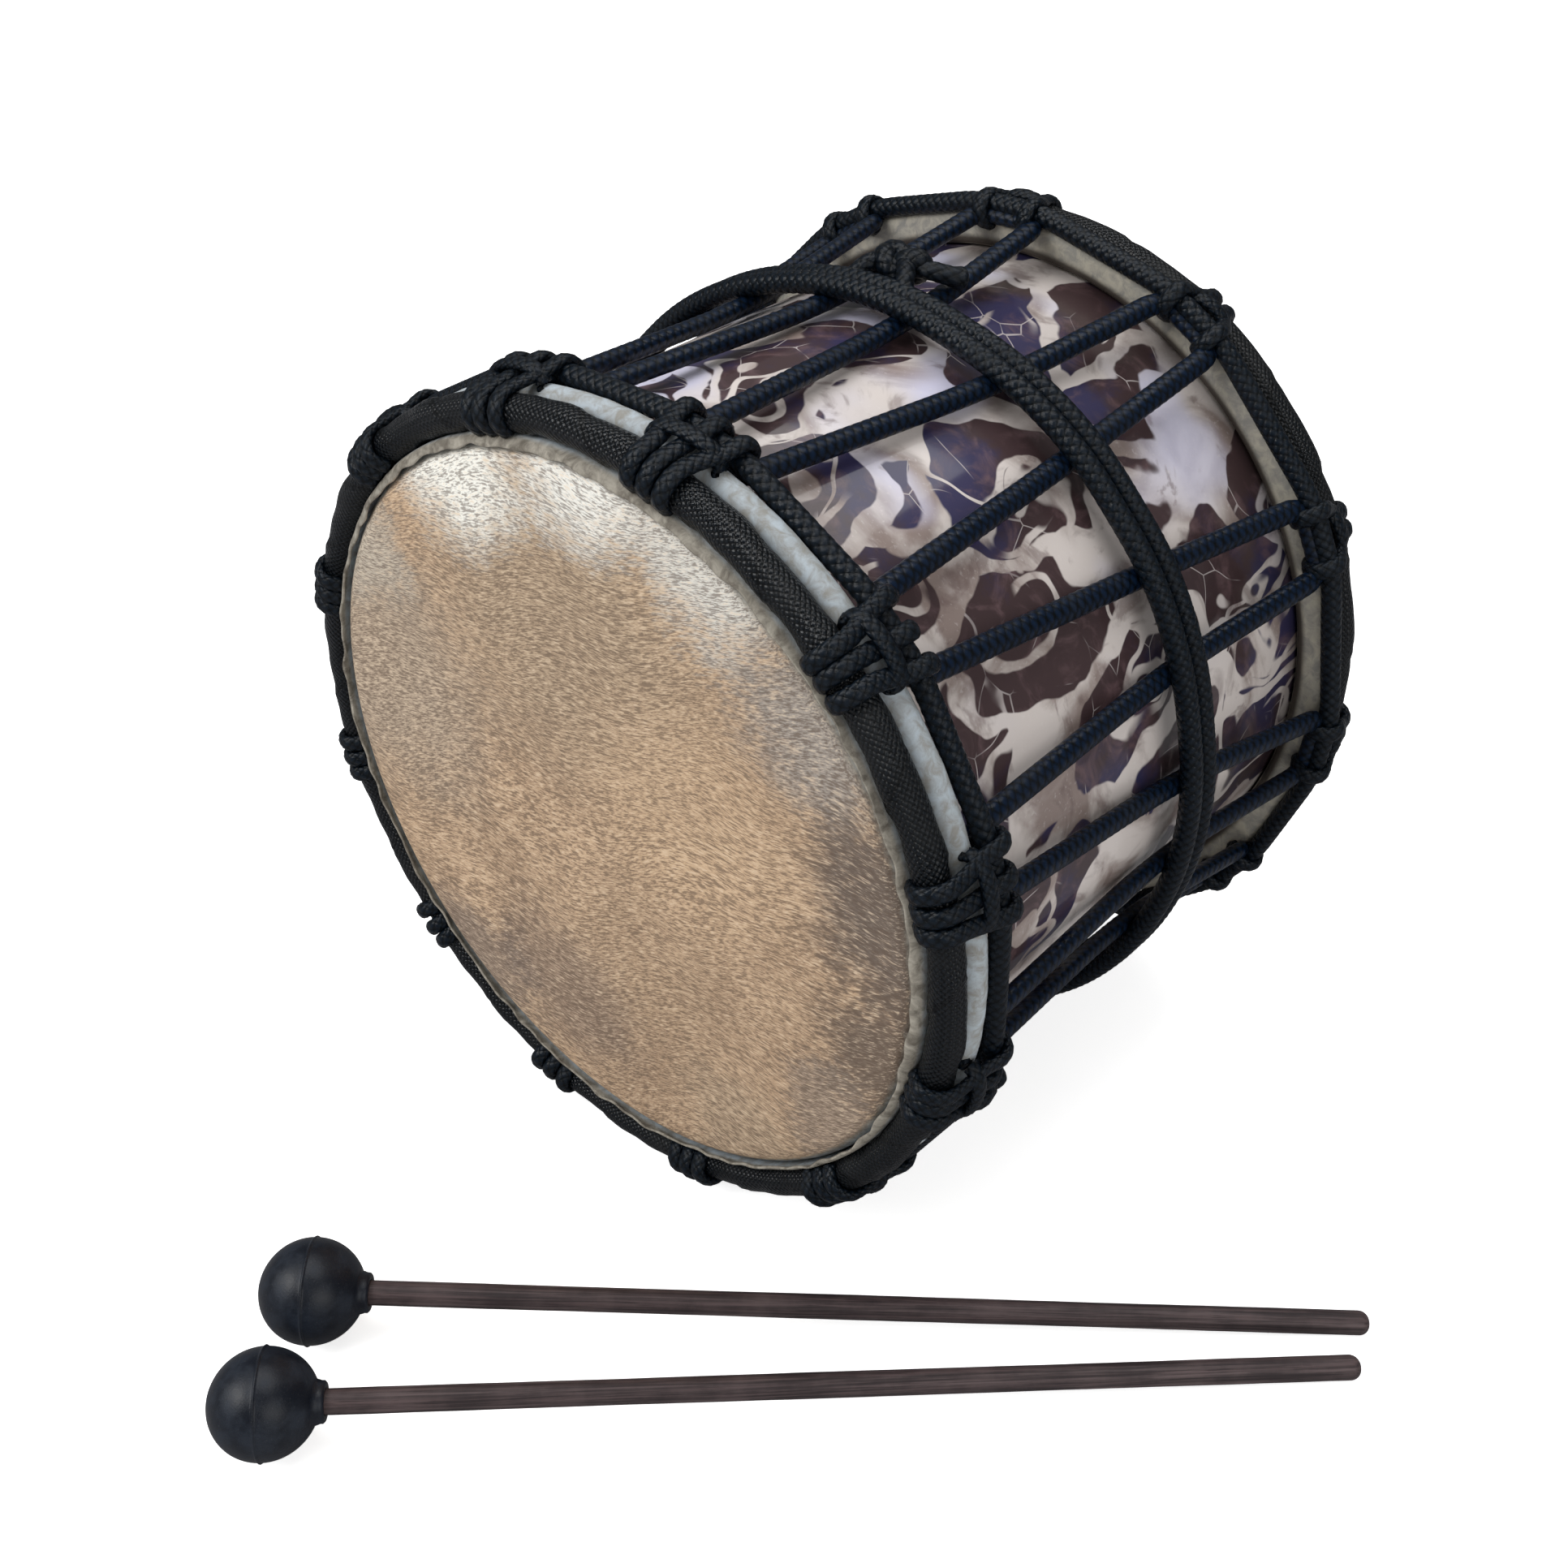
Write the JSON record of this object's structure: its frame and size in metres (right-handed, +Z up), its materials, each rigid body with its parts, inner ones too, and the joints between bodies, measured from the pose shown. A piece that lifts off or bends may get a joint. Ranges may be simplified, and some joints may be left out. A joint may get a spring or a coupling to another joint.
{
  "type": "rope-tensioned double-headed drum with mallets",
  "caption": "Cylinder drum with a skin head at each end, laced with zigzag ropes and a rope belt, lying on its side with a pair of ball-ended mallets.",
  "frame": {"origin": "on the floor, at the middle of the box round the drum and both mallets", "axes": "+Y along the drum's axis from the played head to the other head, +Z up, +X to the right when looking at the played head"},
  "size_m": [0.3999, 0.4151, 0.2966],
  "materials": {
    "shell_wood": "plain turned wood, hidden under the wrap",
    "lacquered_wrap": "glossy lacquer over dark brown and violet patches on a pale marbled ground",
    "drum_skin": "goat skin with short speckled hair, cream on the rolled edge",
    "hoop_steel": "plain bar, hidden inside its winding",
    "hoop_tape": "near-black woven tape wound on the slant",
    "braided_rope": "navy-black braided cord",
    "mallet_stick": "dark stained, lengthwise grain, satin",
    "mallet_rubber": "matte blue-black moulded rubber"
  },
  "bodies": {
    "drum": {"shell": "shell_wood", "shell_wrap": "lacquered_wrap", "front_head": "drum_skin", "front_flesh_hoop": "hoop_steel", "front_crown_hoop": "hoop_steel", "front_crown_wrap": "hoop_tape", "front_hitches": "braided_rope", "front_cradle_rope": "braided_rope", "back_head": "drum_skin", "back_flesh_hoop": "hoop_steel", "back_crown_hoop": "hoop_steel", "back_crown_wrap": "hoop_tape", "back_hitches": "braided_rope", "back_cradle_rope": "braided_rope", "tension_rope": "braided_rope", "belt_rope_front": "braided_rope", "belt_rope_back": "braided_rope", "belt_knot": "braided_rope", "belt_tail": "braided_rope", "rope_end_knot": "braided_rope"},
    "mallet_1": {"mallet_1_stick": "mallet_stick", "mallet_1_ball": "mallet_rubber"},
    "mallet_2": {"mallet_2_stick": "mallet_stick", "mallet_2_ball": "mallet_rubber"}
  },
  "joints": [
    {"name": "mallet_1_lift", "type": "slide", "parent": "drum", "child": "mallet_1", "axis": [0.198, -0.2254, 0.9539], "range_m": [0, 0.15]},
    {"name": "mallet_2_lift", "type": "slide", "parent": "drum", "child": "mallet_2", "axis": [0.198, -0.2254, 0.9539], "range_m": [0, 0.15]}
  ]
}
